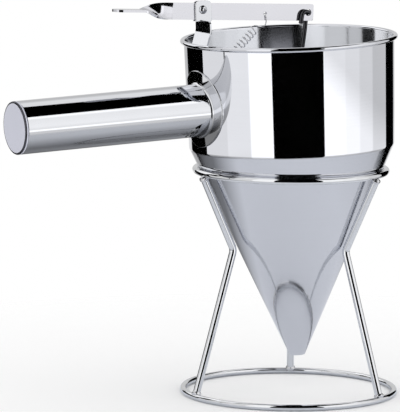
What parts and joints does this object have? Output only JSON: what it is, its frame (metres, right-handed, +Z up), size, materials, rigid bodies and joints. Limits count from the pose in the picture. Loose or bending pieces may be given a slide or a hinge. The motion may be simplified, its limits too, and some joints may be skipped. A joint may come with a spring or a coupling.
{
  "type": "pancake batter dispenser",
  "caption": "Polished steel funnel with a side handle and a thumb lever that lifts an inner stopper, resting in a wire stand with legs between two rings.",
  "frame": {"origin": "centre of the stand's base ring, on the table", "axes": "+Z up along the stand's axis, the handle towards -X, +X away from the handle, XZ the plane of the handle and the lever"},
  "size_m": [0.278, 0.1462, 0.2666],
  "materials": {
    "stand_chrome": "bright chrome on round steel wire",
    "bowl_steel": "stainless sheet, mirror wall, satin cone, brushed inside",
    "turned_steel": "turned stainless steel",
    "handle_steel": "polished stainless tube",
    "cap_steel": "satin stainless disc",
    "bracket_steel": "pressed stainless sheet",
    "screw_steel": "bright stainless fastener",
    "lever_steel": "polished stainless strip",
    "rod_steel": "polished stainless rod",
    "spring_steel": "bright spring wire"
  },
  "bodies": {
    "stand": {"base_ring": "stand_chrome", "seat_ring": "stand_chrome", "leg_handle_side": "stand_chrome", "leg_left": "stand_chrome", "leg_right": "stand_chrome", "base_welds": "stand_chrome", "seat_welds": "stand_chrome"},
    "funnel": {"bowl": "bowl_steel", "outlet_seat": "turned_steel", "handle_flange": "handle_steel", "handle_tube": "handle_steel", "handle_end_cap": "cap_steel", "lever_bracket": "bracket_steel", "pivot_screw": "screw_steel", "pivot_washer": "screw_steel", "pivot_nut": "screw_steel", "return_spring": "spring_steel"},
    "lever": {"lever": "lever_steel"},
    "rod": {"lift_rod": "rod_steel", "stopper": "turned_steel"}
  },
  "joints": [
    {"name": "funnel_lift", "type": "slide", "parent": "stand", "child": "funnel", "axis": [0, 0, 1], "range_m": [0, 0.2]},
    {"name": "lever_pivot", "type": "hinge", "parent": "funnel", "child": "lever", "pos_m": [-0.06861, 0, 0.2607], "axis": [0, -1, 0], "range_deg": [0, 10], "stiffness_Nm_per_rad": 0.35, "springref_deg": -17.19, "deforming": ["return_spring"]},
    {"name": "rod_lift", "type": "slide", "parent": "funnel", "child": "rod", "axis": [-0.0419, 0, 0.9991], "range_m": [0, 0.0142]}
  ],
  "couplings": [
    {"joint": "rod_lift", "follows": "lever_pivot", "m_per_rad": 0.0802}
  ]
}
